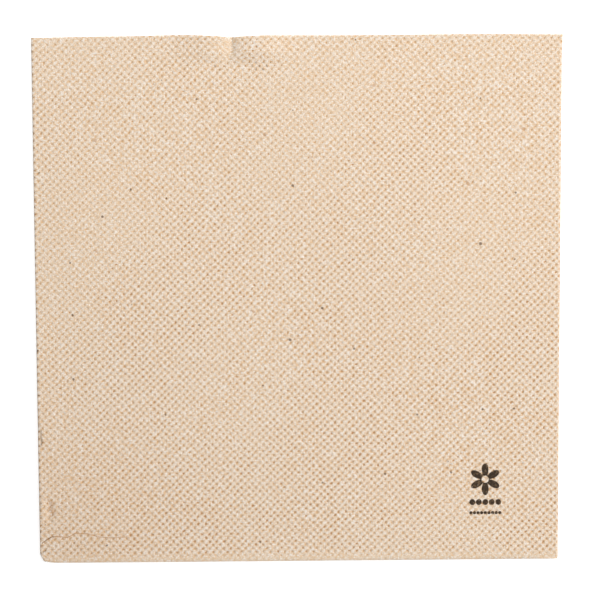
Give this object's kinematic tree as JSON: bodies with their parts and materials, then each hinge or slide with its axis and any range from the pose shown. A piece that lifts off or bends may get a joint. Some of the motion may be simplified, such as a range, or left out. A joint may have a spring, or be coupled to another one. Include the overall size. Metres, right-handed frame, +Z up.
{
  "type": "paper napkin",
  "caption": "Square paper napkin of embossed brown tissue, folded in half and in half again, lying flat to be picked up or unfolded.",
  "frame": {"origin": "middle of the underside, where the folded sheet rests on the table", "axes": "+X along the second fold, away from the first fold; +Y along the first fold, away from the second; +Z up through the layers"},
  "size_m": [0.1658, 0.1667, 0.0025],
  "materials": {
    "brown_tissue": "matte embossed tissue"
  },
  "bodies": {
    "root": {"folded_sheet": "brown_tissue"}
  },
  "joints": []
}
